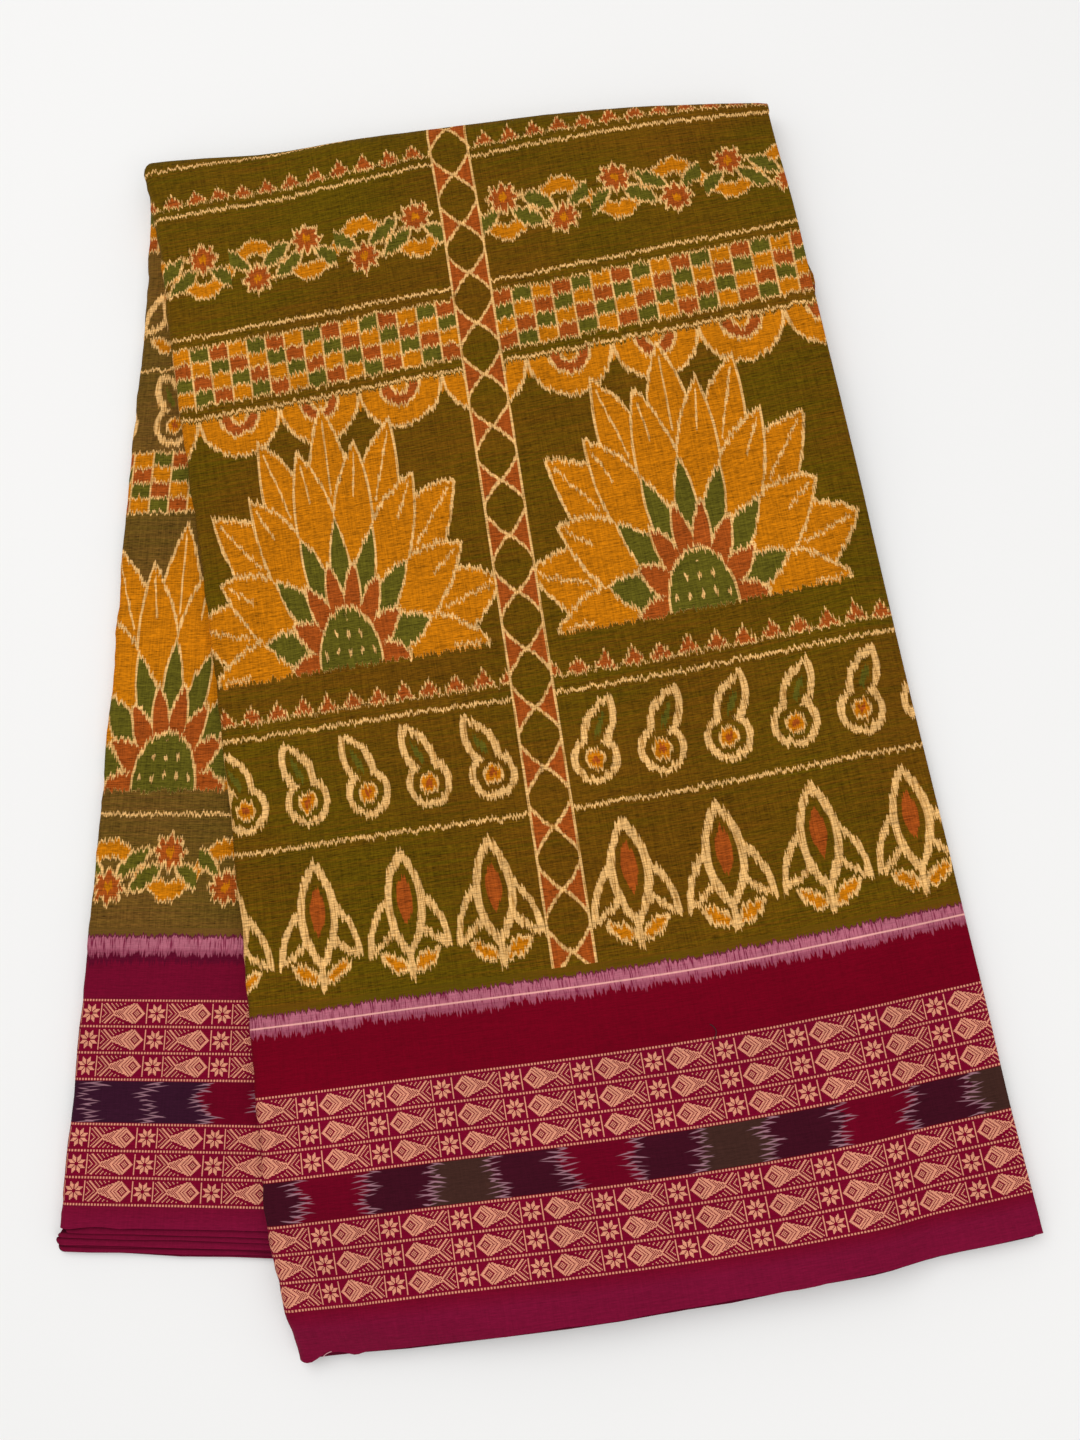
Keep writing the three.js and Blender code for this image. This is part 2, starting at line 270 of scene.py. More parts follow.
def cloth_lift(u, v, side):
    """How far the cloth that shows stands off its layers, in mm."""
    seed = {"front": 3, "back": 8}[side]
    swell = 0.35 * unevenness(u, v, 70, 90, seed) + 0.12 * unevenness(u, v, 22, 26, seed + 1)
    pucker = 0.05 * unevenness(u, v, 6, 3.2, seed + 2)
    by_hem = 0.22 * unevenness(u, v, 7, 5, seed + 5) * (1 - smooth(3, 24, v))
    return swell + pucker + by_hem + crease_height(u, v, CREASES[side])


# ---- Meshes ----

def add_object(name, data):
    item = bpy.data.objects.new(name, data)
    bpy.context.collection.objects.link(item)
    return item


def make_piece(name, vertices, faces, uv, shade=None):
    """A mesh object from points in mm, with one place on the cloth (in mm) for each point, and, if
    given, the painted shade of each point, from 0 to 1, that darkens it where it lies between
    layers."""
    mesh = bpy.data.meshes.new(name)
    mesh.from_pydata((vertices * MM).tolist(), [], faces)
    corner = np.empty(len(mesh.loops), dtype=np.int32)
    mesh.loops.foreach_get("vertex_index", corner)
    layer = mesh.uv_layers.new(name="cloth")
    layer.data.foreach_set("uv", (uv[corner] * MM).astype(np.float32).ravel())
    # painted shade, kept as a point attribute that finish_cloth darkens the colour by
    if shade is not None:
        depth = mesh.attributes.new("painted_gap_shade", "FLOAT", "POINT")
        depth.data.foreach_set("value", shade.astype(np.float32))
    mesh.update()
    mesh.shade_smooth()
    mesh.set_sharp_from_angle(angle=math.radians(50))
    return add_object(name, mesh)


def loft_rings(rings, uvs, near, first=0):
    """Faces of a closed body through rings of equal length, numbered from first. A ring goes along
    the outer face, near points of it, round a rim and back along the inner one."""
    stations, count = rings.shape[:2]
    number = first + np.arange(stations * count).reshape(stations, count)
    after = np.roll(number, -1, axis=1)
    sides = np.stack([number[:-1], after[:-1], after[1:], number[1:]], axis=-1).reshape(-1, 4)
    rim = (count - 2 * near) // 2
    faces = sides.tolist()
    for ring, forward in ((number[0], False), (number[-1], True)):
        outer, inner = ring[:near], ring[near + rim : 2 * near + rim][::-1]
        cap = np.stack([outer[:-1], outer[1:], inner[1:], inner[:-1]], axis=-1).tolist()
        cap.append([*ring[near - 1 : near + rim + 1].tolist()])
        cap.append([*ring[2 * near + rim - 1 :].tolist(), int(ring[0])])
        faces += cap if forward else [face[::-1] for face in cap]
    points, places = rings.reshape(-1, 3), uvs.reshape(-1, 2)
    origin = points[0]
    corners = points[number[:-1] - first] - origin
    opposite = points[after[:-1] - first] - origin
    across = points[after[1:] - first] - origin
    last = points[number[1:] - first] - origin
    volume = np.sum(corners * np.cross(opposite, across)) + np.sum(corners * np.cross(across, last))
    if volume < 0:
        faces = [face[::-1] for face in faces]
    return points, faces, places


def spaced(start, end, cell, rim=()):
    """Places from start to end about cell apart, with more of them at the end, rim away from it."""
    count = max(2, round(abs(end - start) / cell))
    places = list(np.linspace(start, end, count + 1))
    sign = 1 if end > start else -1
    places = [p for p in places[:-1] if abs(end - p) > 1.2 * max(rim, default=0)]
    return np.array([*places, *[end - sign * r for r in sorted(rim, reverse=True)], end])


def sheet_section():
    """The section across a half's outer cloth: round the left edge and over to the right one."""
    angles = np.radians(np.linspace(-90, 90, 11))
    round_u, round_w = EDGE - EDGE * np.cos(angles), EDGE + EDGE * np.sin(angles)
    flat_u = spaced(EDGE, WIDTH, CELL, rim=(0.25, 0.9))[1:]
    u = np.concatenate([round_u, flat_u])
    w = np.concatenate([round_w, np.full(len(flat_u), PILE)])
    out_u = np.concatenate([-np.cos(angles), np.zeros(len(flat_u))])
    out_w = np.concatenate([np.sin(angles), np.ones(len(flat_u))])
    on_cloth = np.concatenate([EDGE - EDGE * (math.pi / 2 - angles), flat_u])
    return u, w, out_u, out_w, on_cloth


def left_bulge(u, v, side):
    """How far the folded left edge bulges out, in short uneven bumps."""
    seed = {"front": 41, "back": 46}[side]
    bumps = 0.5 * unevenness(u * 0, v, 9, 12, seed) + 0.3 * unevenness(u * 0, v, 9, 4.5, seed + 1)
    return (0.3 + bumps) * (1 - smooth(0, 9, u))


def cloth_sheet(name, stations, side):
    """A thin shell along one half. A station is (place, along, wave): functions of (u, w) and of u
    for where it lies and where that is on the cloth, and how far the right edge reaches out."""
    u, w, out_u, out_w, on_cloth = sheet_section()
    flip = side == "back"  # the lower half's cloth lies on its face between the halves
    near = len(u)
    rings, uvs = [], []
    for place, along, wave in stations:
        v = along(on_cloth)
        lift = cloth_lift(on_cloth, v, side) * smooth(-2, 14, on_cloth)
        lift = np.maximum(lift, LEAST_LIFT)
        tuck = smooth(WIDTH - 6, WIDTH, u) * EDGE_TUCK
        edge_wave = wave * smooth(WIDTH - 40, WIDTH, u) - left_bulge(u, v, side)

        def layer(depth):
            uu = u + out_u * (lift - depth) + edge_wave
            ww = w + out_w * (lift - depth - tuck)
            return place(uu, PILE - ww if flip else ww)

        outer, inner = layer(0), layer(SHEET)
        rim_right = (outer[-1] + inner[-1]) / 2 + 0.6 * (outer[-1] - outer[-2]) / 0.25 * SHEET / 2
        rim_left = (outer[0] + inner[0]) / 2 + 0.3 * (outer[0] - outer[1])
        rings.append(np.concatenate([outer, [rim_right], inner[::-1], [rim_left]]))
        cloth = points_of(on_cloth, v)
        uvs.append(np.concatenate([cloth, cloth[-1:], cloth[::-1], cloth[:1]]))
    points, faces, places = loft_rings(np.array(rings), np.array(uvs), near)
    return make_piece(name, points, faces, places)


def hidden_leaf(stations, leaf, seed):
    """One bundle of hidden layers, with both of its long sides rounded. A station is (place, low,
    high, v, slip, beyond, shade): beyond is how far it lies from the bundle's hem, and shade gives,
    for each u, the painted shade on the bundle's faces there, from 0 to 1, darker under the next
    layer."""
    rings, uvs, shades = [], [], []
    for place, low, high, v, slip, beyond, painted_gap_shade in stations:
        depth = (high - low) / LEAVES
        middle = low + (leaf + 0.5) * depth
        half = (depth - LEAF_GAP) / 2 * (0.35 + 0.65 * min(1, beyond / 0.8) ** 0.5)
        from_edge = abs(middle - EDGE) / EDGE
        left = EDGE + 1.4 - (EDGE - SHEET - 0.5) * math.sqrt(max(0, 1 - from_edge**2))
        left += 0.3 * drift(v, 5, 40, seed)
        bare = float(smooth(0.5, -2.5, v))  # past the hem of the cloth round them
        left += bare * (1.4 * drift(v, 50, 900, seed) - 0.6 - left)
        right = WIDTH - 1.1 + 0.6 * drift(v, 90, 55, seed) + 0.3 * drift(v, 140, 12, seed) + slip
        short = LEAF_CORNER - min(LEAF_CORNER, beyond)
        rounding = LEAF_CORNER - math.sqrt(LEAF_CORNER**2 - short**2)
        left, right = left + rounding, right - rounding
        flat = [left, left + 3, left + 12, *np.linspace(34, WIDTH - 118, 9)]
        flat = np.array([*flat, *np.linspace(WIDTH - 110, WIDTH - 14, 13), right - 3, right])
        drawn_in = smooth(left + 3, left + 22, flat) * (1 - smooth(right - 22, right - 3, flat))
        squeeze = 1 - PRESSED * drawn_in
        centre = (low + high) / 2
        top = centre + (middle + half - centre) * squeeze
        bottom = centre + (middle - half - centre) * squeeze
        turn = np.radians([60, 25, -25, -60])
        reach = half * np.cos(turn)
        u = np.concatenate([flat, right + reach, flat[::-1], left - reach])
        bulge = half * np.sin(turn)
        w = np.concatenate([top, middle + bulge, bottom[::-1], middle - bulge])
        rings.append(place(u, w))
        uvs.append(points_of(u + 3.7 * leaf, v))
        # painted shade on the rounded sides: darker near their top and bottom, where one bundle
        # meets the next
        side = np.array([0.55, 0.05, 0.05, 0.55])
        # painted shade on the upper and lower faces, from the station's function of u
        face = painted_gap_shade(flat)
        shades.append(np.concatenate([face, side, face[::-1], side[::-1]]))
    return np.array(rings), np.array(uvs), np.array(shades), len(flat)


def hidden_leaves(name, stations_of, seed):
    points, faces, places, shades = [], [], [], []
    for leaf in range(LEAVES):
        first = sum(len(part) for part in points)
        rings, uvs, shade, near = hidden_leaf(stations_of(leaf), leaf, seed + 10 * leaf)
        new_points, new_faces, new_places = loft_rings(rings, uvs, near, first)
        points.append(new_points)
        faces += new_faces
        places.append(new_places)
        shades.append(shade.ravel())
    points, places, shades = (np.concatenate(parts) for parts in (points, places, shades))
    return make_piece(name, points, faces, places, shades)


def covered_shade(u):
    """Painted shade for a bundle whose faces are hidden all along: the same 0.6 everywhere."""
    return 0.6 + 0 * u


# ---- The cloth that shows ----

SEAM = 4  # how far a border's sheet runs into the field, for the feathered edge of its last stripe


def follow(place, along):
    """Where the line at along(u) from the hem lies, as a function of (u, w)."""
    return lambda u, w: place(u, along(u), w)


def station(place, length, start, t, wave=0.0):
    """Share t of the way from start to the top fold, in the half that place and length are for."""
    def along(u):
        return start + t * (length(u) - start)

    return follow(place, along), along, wave


def turn_station(t):
    turn = t * math.pi
    radius = (TURN_RADIUS + PILE) * (1 + FOLD_LOFT)

    def along(u):
        return upper_length(u) + (math.pi - turn) * radius

    return (lambda u, w: place_turn(u, turn, w)), along, 0.0


def fixed_station(place, v, wave=0.0):
    """At one distance v from the hem, but for the hem's own small scallops."""
    def along(u):
        return v + (1 - smooth(0, 12, v)) * hem_scallop(u) * (1 if place is place_upper else 0.35)

    return follow(place, along), along, wave


def hem_scallop(u):
    """The hem's own small waves, with a lobe at the left corner."""
    lobe = 0.6 * hump(u, 20, 7) - 2.6 * hump(u, 5, 6) - 1.6 * hump(u, 31, 5)
    uneven = 0.45 * unevenness(u, u * 0, 26, 9, 31) + 0.2 * unevenness(u, u * 0, 7, 9, 32)
    return 1.2 + lobe + uneven


def right_wave(v):
    """How far the upper half's open right edge waves out."""
    return 0.7 * drift(v, 0, 60, 21)


def front_field():
    steps = spaced(0, 1, CELL / (upper_middle - BORDER))
    start = BORDER + SEAM
    turning = [turn_station(t) for t in np.linspace(0, 1, 17)]
    down = []
    for t in steps[::-1][1:]:
        wave = right_wave(start + t * (upper_middle - start))
        down.append(station(place_upper, upper_length, start, t, wave))
    return cloth_sheet("front_field_cloth", turning + down, "front")


def front_border():
    places = spaced(BORDER + SEAM, 0, CELL, rim=(0.3, 1.0))
    stations = [fixed_station(place_upper, v, right_wave(v)) for v in places]
    return cloth_sheet("front_border_cloth", stations, "front")


def back_field():
    start = BACK_BORDER + SEAM
    steps = spaced(0, 0.9995, 1.25 * CELL / (lower_middle - start))
    stations = [station(place_lower, lower_length, start, t) for t in steps]
    return cloth_sheet("back_field_cloth", stations, "back")


def back_border():
    places = spaced(BACK_BORDER + SEAM, BACK_SHORT, 1.25 * CELL, rim=(0.3, 1.0))[::-1]
    stations = [fixed_station(place_lower, v) for v in places]
    return cloth_sheet("back_border_cloth", stations, "back")


# ---- The hidden layers ----

SKIN = SHEET + 0.1  # what the cloth that shows takes from a half
SLIPPED = 3  # the bundle whose right edge has slipped out
SLIP, SLIP_MIDDLE, SLIP_WIDTH = 3.2, upper_middle - 114, 11  # how far, where, and over what length
LAYER_CELL = 5
FAR = 9  # from any hem


def folded_layers():
    def stations_of(leaf):
        rows = []
        start = BACK_BORDER
        for t in spaced(0, 0.985, 2 * LAYER_CELL / (lower_middle - start)):
            place = station(place_lower, lower_length, start, t)[0]
            v = start + t * (lower_middle - start)
            rows.append((place, SKIN, PILE, v, 0, FAR, covered_shade))
        for t in np.linspace(0, 1, 13):
            v = upper_middle + (1 - t) * TURN_SHOWN
            rows.append((turn_station(t)[0], SKIN, PILE - SKIN, v, 0, FAR, covered_shade))
        for t in spaced(0.985, 0, LAYER_CELL / (upper_middle - BORDER)):
            place = station(place_upper, upper_length, BORDER, t)[0]
            v = BORDER + t * (upper_middle - BORDER)
            slip = SLIP * hump(v, SLIP_MIDDLE, SLIP_WIDTH) if leaf == SLIPPED else 0
            rows.append((place, 0, PILE - SKIN, v, slip, FAR, covered_shade))
        return rows

    return hidden_leaves("folded_layers_cloth", stations_of, 100)


def waving(v, wave, share):
    """A line along the hem, v from it, that takes on a share of the hem's wave."""
    return lambda u: v + wave(u) * share


def front_hems():
    short = [1.3, 0.5, 1.0, 0.3, 0.8, 0.2, 0.6]  # how far each bundle stops short of the hem

    def stations_of(leaf):
        def wave(u):
            return 0.4 * unevenness(u, u * 0, 30, 9, 60 + leaf)

        rows = []
        for v in spaced(BORDER, short[leaf], 0.6 * LAYER_CELL, rim=(0.2, 0.8, 2)):
            place = follow(place_upper, waving(v, wave, 1 - smooth(0, 20, v)))
            rows.append((place, 0, PILE - SKIN, v, 0, v - short[leaf], covered_shade))
        return rows

    return hidden_leaves("front_hems_cloth", stations_of, 200)


def back_hems():
    # How far each bundle reaches past the hem of the cloth that shows, from the top one down.
    reach = [-BACK_SHORT, 0.6, 3.2, 5.4, 7.2, 8.2, 9.4, 8.8]

    def wave_of(number):
        def wave(u):
            slow = unevenness(u, u * 0, 75, 9, 80 + number)
            return 1.1 * slow + 0.4 * unevenness(u, u * 0, 17, 9, 90 + number)

        return wave if number else lambda u: 0.35 * hem_scallop(u)

    def stations_of(leaf):
        rows = []
        rim = (0.2, 0.7, 1.3, 1.9, 2.6, 3.4)
        over = waving(-reach[leaf], wave_of(leaf), 1)  # the hem above this one
        for v in spaced(BACK_BORDER, -reach[leaf + 1], LAYER_CELL, rim=rim):
            along = waving(v, wave_of(leaf + 1), 1 - float(smooth(-4, 20, v)))

            # painted shade: 1 where this bundle lies under the one above, fading out within about a
            # millimetre past that one's hem
            def painted_gap_shade(u, along=along):
                return np.exp(-np.maximum(0, over(u) - along(u)) / 0.75)

            place = follow(place_lower, along)
            rows.append((place, SKIN, PILE, v, 0, v + reach[leaf + 1], painted_gap_shade))
        return rows

    return hidden_leaves("back_hems_cloth", stations_of, 300)


# ---- Shader arithmetic ----

class Wire:
    """A number that a shader works out. Plain arithmetic on it adds Math nodes to its tree."""

    def __init__(self, tree, socket):
        self.tree = tree
        self.socket = socket

    def math(self, operation, *others, clamp=False):
        node = add_node(self.tree, "Math", self, *others)
        node.operation = operation
        node.use_clamp = clamp
        return Wire(self.tree, node.outputs[0])

    def __add__(self, other):
        return self.math("ADD", other)

    def __sub__(self, other):
        return self.math("SUBTRACT", other)

    def __mul__(self, other):
        return self.math("MULTIPLY", other)

    def __truediv__(self, other):
        return self.math("DIVIDE", other)

    def __rsub__(self, other):
        return (self * -1) + other

    __radd__ = __add__
    __rmul__ = __mul__


def connect(tree, value, plug):
    if isinstance(value, Wire):
        tree.links.new(value.socket, plug)
    else:
        plug.default_value = value


def set_inputs(tree, node, **named):
    for label, value in named.items():
        connect(tree, value, node.inputs[label.replace("_", " ")])


def add_node(tree, kind, *values, **named):
    """A shader node that takes the values in its first inputs and in those named."""
    node = tree.nodes.new(f"ShaderNode{kind}")
    for value, plug in zip(values, node.inputs):
        connect(tree, value, plug)
    set_inputs(tree, node, **named)
    return node


def outputs_of(tree, kind, *values, **named):
    return [Wire(tree, plug) for plug in add_node(tree, kind, *values, **named).outputs]


def size_of(x):
    return x.math("ABSOLUTE")


def least(first, *rest):
    for other in rest:
        first = first.math("MINIMUM", other)
    return first


def most(first, *rest):
    for other in rest:
        first = first.math("MAXIMUM", other)
    return first


def length_of(x, y):
    return (x * x).math("ADD", y * y).math("SQRT")


def repeat(x, pitch):
    """x counted from the middle of the nearest of the repeats, which lie pitch apart."""
    return x.math("WRAP", pitch / 2, -pitch / 2)


def inside(distance, blur=0.25):
    """1 where distance is below 0, 0 above, with a blurred step."""
    return distance.math("MULTIPLY_ADD", -0.5 / blur, 0.5, clamp=True)


def between(x, low, high, blur=0.25):
    middle, half = (low + high) / 2, (high - low) / 2
    return inside(size_of(x - middle) - half, blur)


def noise(u, v, size_u, size_v, seed, detail=0.0):
    """Smooth noise from 0 to 1, in grains size_u by size_v."""
    tree = u.tree
    place = outputs_of(tree, "CombineXYZ", u / size_u, v / size_v, 17.3 * seed)[0]
    return outputs_of(tree, "TexNoise", place, Scale=1, Detail=detail)[0]


def linear(c):
    return (c / 255 / 12.92) if c < 10.3 else ((c / 255 + 0.055) / 1.055) ** 2.4


def srgb(red, green, blue):
    return (linear(red), linear(green), linear(blue), 1.0)


class Dye:
    """The colour of a cloth, dyed area by area: each paint call covers what its mask says."""

    def __init__(self, tree, ground, line=None):
        self.tree = tree
        self.colour = ground
        self.ground = ground
        self.line = line

    def paint(self, mask, colour):
        mix = add_node(self.tree, "Mix")
        mix.data_type = "RGBA"
        for value, plug in ((mask, 0), (self.colour, 6), (colour, 7)):
            connect(self.tree, value, mix.inputs[plug])
        self.colour = Wire(self.tree, mix.outputs[2])


# ---- Shared effects ----

def new_group(name, inputs, outputs):
    tree = bpy.data.node_groups.new(name, "ShaderNodeTree")
    for label, value in inputs.items():
        socket = tree.interface.new_socket(label, in_out="INPUT", socket_type="NodeSocketFloat")
        socket.default_value = value
    for label in outputs:
        tree.interface.new_socket(label, in_out="OUTPUT", socket_type="NodeSocketFloat")
    source = tree.nodes.new("NodeGroupInput")
    sink = tree.nodes.new("NodeGroupOutput")
    return tree, {label: Wire(tree, source.outputs[label]) for label in inputs}, sink


def use_group(tree, group, **values):
    node = add_node(tree, "Group")
    node.node_tree = group
    set_inputs(tree, node, **values)
    return {socket.name: Wire(tree, socket) for socket in node.outputs}


def feather_group():
    """Tied and dyed threads lie a little out of line: each one shifts what is dyed on it."""
    defaults = {"Thread": 0.0, "Along": 0.0, "Reach": 1.0, "Count": 0.7}
    tree, given, sink = new_group("feathered_edges", defaults, ["Shifted"])
    thread = given["Thread"] / given["Count"]
    single = noise(thread, given["Along"], 1, 9, 1) - 0.5
    few = noise(thread, given["Along"], 2.3, 20, 7) - 0.5
    bunch = noise(thread, given["Along"], 9, 45, 2) - 0.5
    shift = (single * 5.6 + few * 2.2 + bunch * 1.6) * given["Reach"]
    connect(tree, given["Along"] + shift, sink.inputs["Shifted"])
    return tree


def thread_group():
    """Uneven handspun threads: a tone that varies round 1, and the weave's height from 0 to 1."""
    defaults = {"Across": 0.0, "Along": 0.0, "Slub": 1.0}
    tree, given, sink = new_group("handspun_threads", defaults, ["Tone", "Height"])
    u, v = given["Across"], given["Along"]
    fine = noise(u, v, 3.2, 0.45, 3, 1.0) - 0.5
    long_streak = noise(u, v, 16, 0.7, 4, 1.0) - 0.5
    upright = noise(u, v, 0.5, 10, 5) - 0.5
    cloud = noise(u, v, 60, 45, 6, 1.0) - 0.5
    streaks = fine * 1.6 + long_streak * 1.1 + upright * 0.6
    connect(tree, streaks * given["Slub"] + cloud * 0.25 + 1, sink.inputs["Tone"])
    ribs = (u * (2 * math.pi / 0.8)).math("SINE") * (v * (2 * math.pi / 0.62)).math("SINE")
    height = ribs * 0.16 + fine * 0.9 + long_streak * 0.7 + upright * 0.4 + 0.5
    connect(tree, height, sink.inputs["Height"])
    return tree


FEATHER = feather_group()
THREADS = thread_group()
GAP_SHADE = 0.8  # how much darker the deepest gap between layers is


def cloth_coordinates(tree):
    """Across and along the cloth, in mm, from the piece's own UV map."""
    uv = add_node(tree, "UVMap")
    uv.uv_map = "cloth"
    u, v = outputs_of(tree, "SeparateXYZ", Wire(tree, uv.outputs[0]))[:2]
    return u * 1000, v * 1000


def feathered(u, v, reach, count=0.7):
    return use_group(u.tree, FEATHER, Thread=u, Along=v, Reach=reach, Count=count)["Shifted"]


def new_material(name, **looks):
    """A material whose shader takes looks in the inputs of those names."""
    material = bpy.data.materials.new(name)
    material.use_nodes = True
    tree = material.node_tree
    shader = tree.nodes["Principled BSDF"]
    set_inputs(tree, shader, **looks)
    return material, tree, shader


def new_cloth(name, roughness):
    return new_material(
        name,
        Roughness=roughness,
        Specular_IOR_Level=0.03,
        Sheen_Weight=0.01,
        Sheen_Roughness=0.45,
        Sheen_Tint=(1.0, 0.86, 0.72, 1.0),
    )


def finish_cloth(tree, shader, dye, threads, lift, depth, strength):
    """Colours the cloth by its dye, its threads' tone and painted shade; raises threads and motifs.
    """
    # painted shade: darkens the colour by up to GAP_SHADE where the point attribute says the cloth
    # lies between layers
    painted_gap_shade = add_node(tree, "Attribute")
    painted_gap_shade.attribute_name = "painted_gap_shade"
    lit = 1 - Wire(tree, painted_gap_shade.outputs["Fac"]) * GAP_SHADE
    toned = add_node(tree, "VectorMath", dye.colour)
    toned.operation = "SCALE"
    set_inputs(tree, toned, Scale=threads["Tone"] * lit)
    raised = threads["Height"] + lift
    bump = outputs_of(tree, "Bump", Strength=strength, Distance=depth * MM, Height=raised)[0]
    set_inputs(tree, shader, Base_Color=Wire(tree, toned.outputs[0]), Normal=bump)


# ---- The field's ikat ----

BROWN_GROUND = srgb(105, 68, 8)
GREEN_GROUND = srgb(92, 72, 4)
BACK_BROWN = srgb(110, 76, 30)
BACK_GREEN = srgb(99, 75, 24)
OCHRE = srgb(192, 113, 8)
RUST = srgb(158, 74, 22)
GREEN = srgb(92, 85, 22)
CREAM = srgb(230, 180, 112)
CREAM_SHADE = srgb(172, 122, 58)
COLUMN = 164  # the diamond column's middle, at the border
COLUMN_LEAN = 9  # and how much further across it is near the fold
COLUMN_HALF = 10.2


def field_ground(u, v, brown, green):
    """The undyed ground: brown where one lot of threads went in, greener where another did."""
    patches = (noise(u, v, 90, 60, 22) - 0.5) * 1.8
    streaks = (noise(u, v, 45, 1.0, 23) - 0.5) * 1.5
    dye = Dye(u.tree, brown)
    dye.paint((patches + streaks).math("ADD", 0.5, clamp=True), green)
    return dye.colour


def hairlined_cream(u, v):
    """Resist-dyed cream, with darker threads along it that took some of the dye."""
    hair = noise(u, v, 0.45, 11, 24) - 0.53
    dye = Dye(u.tree, CREAM)
    dye.paint((hair * 6).math("MULTIPLY", 0.85, clamp=True), CREAM_SHADE)
    return dye.colour


def circle(x, y, radius):
    return length_of(x, y) - radius


def leaf_shape(x, y, half_length, half_width, lean=0):
    """A pointed leaf round its middle, upright or leaning by so many degrees."""
    if lean:
        c, s = math.cos(math.radians(lean)), math.sin(math.radians(lean))
        x, y = x * c + y * s, y * c - x * s
    radius = (half_length**2 + half_width**2) / (2 * half_width)
    return length_of(size_of(x) + (radius - half_width), y) - radius


def outlined(dye, distance, fill, stroke=0.8, within=None):
    """A shape filled with a dye, with a resist-dyed line round it."""
    for edge, colour in ((stroke, dye.line), (-stroke, fill)):
        mask = inside(distance - edge)
        dye.paint(mask * within if within else mask, colour)


def bud_row(dye, u, v, pitch=46):
    """Tall lotus buds: two side petals and a middle one with a dyed heart."""
    x = repeat(u, pitch)
    for side in (1, -1):
        petal = leaf_shape(x - side * 9.5, v + 3, 19, 5.6, side * 34)
        outlined(dye, petal, dye.ground, 1.6)
    outlined(dye, leaf_shape(x, v - 3, 24, 8.6), dye.ground, 1.9)
    dye.paint(inside(leaf_shape(x, v - 5, 12, 4.0)), RUST)
    dye.paint(inside(most(size_of(x) - 1.5, size_of(v + 27.5) - 6)), dye.line)
    outlined(dye, leaf_shape(size_of(x) - 8, v + 25, 8, 3.2, -58), OCHRE, 0.9)


def mango_row(dye, u, v, pitch=33):
    """Small mangoes that lean over, with a ring and a heart."""
    x = repeat(u, pitch)
    tip = leaf_shape(x - 3.5, v - 9, 14.5, 6.4, -28)
    body = circle(x + 0.5, v + 7, 10.4)
    outlined(dye, least(tip, body), dye.ground, 1.7)
    outlined(dye, circle(x + 0.5, v + 7, 4.6), OCHRE, 0.6)
    dye.paint(inside(circle(x + 0.5, v + 7, 2.0)), RUST)
    dye.paint(inside(leaf_shape(x - 3.8, v - 9, 7, 1.7, -28)), GREEN)


def lotus(dye, x, v, across=0.61):
    """A large open lotus, 140 mm tall, its petals in rings round a pod."""
    x = x / across
    radius = length_of(x, v)
    angle = x.math("ARCTAN2", v)
    upper = inside(v * -1 - 2)

    def petals(shift, reach, half_length, half_width):
        """Fourteen to a full round, a share of a petal on, reaching so far from the middle."""
        step = 2 * math.pi / 14
        local = repeat(angle + shift * step, step)
        px, py = radius * local.math("SINE"), radius * local.math("COSINE")
        return leaf_shape(px, py - reach + half_length, half_length, half_width), px

    for ring in ((0, 142, 64, 22), (0.5, 122, 54, 19)):
        shape, px = petals(*ring)
        outlined(dye, shape, OCHRE, 1.1, upper)
        vein = most(size_of(px) - 0.8, 92 - radius)
        dye.paint(inside(vein) * inside(shape + 4) * upper, dye.line)
    for ring, fill in (((0, 78, 32, 9.5), GREEN), ((0.5, 55, 22, 8), RUST)):
        outlined(dye, petals(*ring)[0] + 0.05, fill, 0.95, upper)
    outlined(dye, radius - 28.5, GREEN, 1.0, upper)
    dots = circle(repeat(x, 11), repeat(v - 5, 10), 1.7)
    dye.paint(inside(dots) * inside(radius - 24) * upper, dye.line)


def swag_row(dye, u, v, pitch=46):
    """Half rounds that hang side by side from a line."""
    below = inside(v)
    dye.paint(between(v, -9, 0), OCHRE)
    x = repeat(u, pitch)
    for radius, fill in ((pitch / 2 - 0.5, OCHRE), (11, RUST), (4.5, OCHRE)):
        outlined(dye, circle(x, v * 0.95, radius) + 0.05, fill, 0.85, below)


def check_band(dye, u, v, rows=4, width=10.8, height=8.6):
    """Rows of small tied squares in three colours."""
    tall = rows * height
    band = between(v, -tall / 2, tall / 2)
    column = (u / width).math("FLOOR")
    row = ((v + tall / 2) / height).math("FLOOR")
    kind = (column + row * 2).math("FLOORED_MODULO", 3)
    dye.paint(band, RUST)
    dye.paint(band * inside(size_of(kind - 1) - 0.5, 0.1), GREEN)
    dye.paint(band * inside(size_of(kind - 2) - 0.5, 0.1), OCHRE)
    upright = size_of(repeat(u, width)) - 0.5
    level = size_of(repeat(v + tall / 2, height)) - 0.6
    framed = between(v, -tall / 2 - 0.7, tall / 2 + 0.7)
    dye.paint(framed * inside(least(upright, level)), dye.line)


def creeper(dye, u, v, pitch=62, sway=11):
    """A broad waving stem with leaves and, in each of its hollows, a flower."""
    wave = (u * (2 * math.pi / pitch)).math("SINE") * sway
    half = repeat(u, pitch)
    outlined(dye, size_of(v - wave) - 4.6, OCHRE, 0.7)
    for side in (1, -1):
        x, y = half - side * pitch / 4, v + side * 9
        petal = (x.math("ARCTAN2", y) * 8).math("COSINE") * 1.5
        outlined(dye, circle(x, y, 7.6) - petal, RUST, 0.9)
        dye.paint(inside(circle(x, y, 2.3)), OCHRE)
        for offset, lean in ((-12, -52), (12, 52)):
            x, y = half + side * pitch / 4 - offset, v + side * 4
            outlined(dye, leaf_shape(x, y, 11, 4.4, side * lean), GREEN, 0.7)


def ragged_line(dye, u, v):
    dye.paint(inside(size_of(v) - 0.75), dye.line)


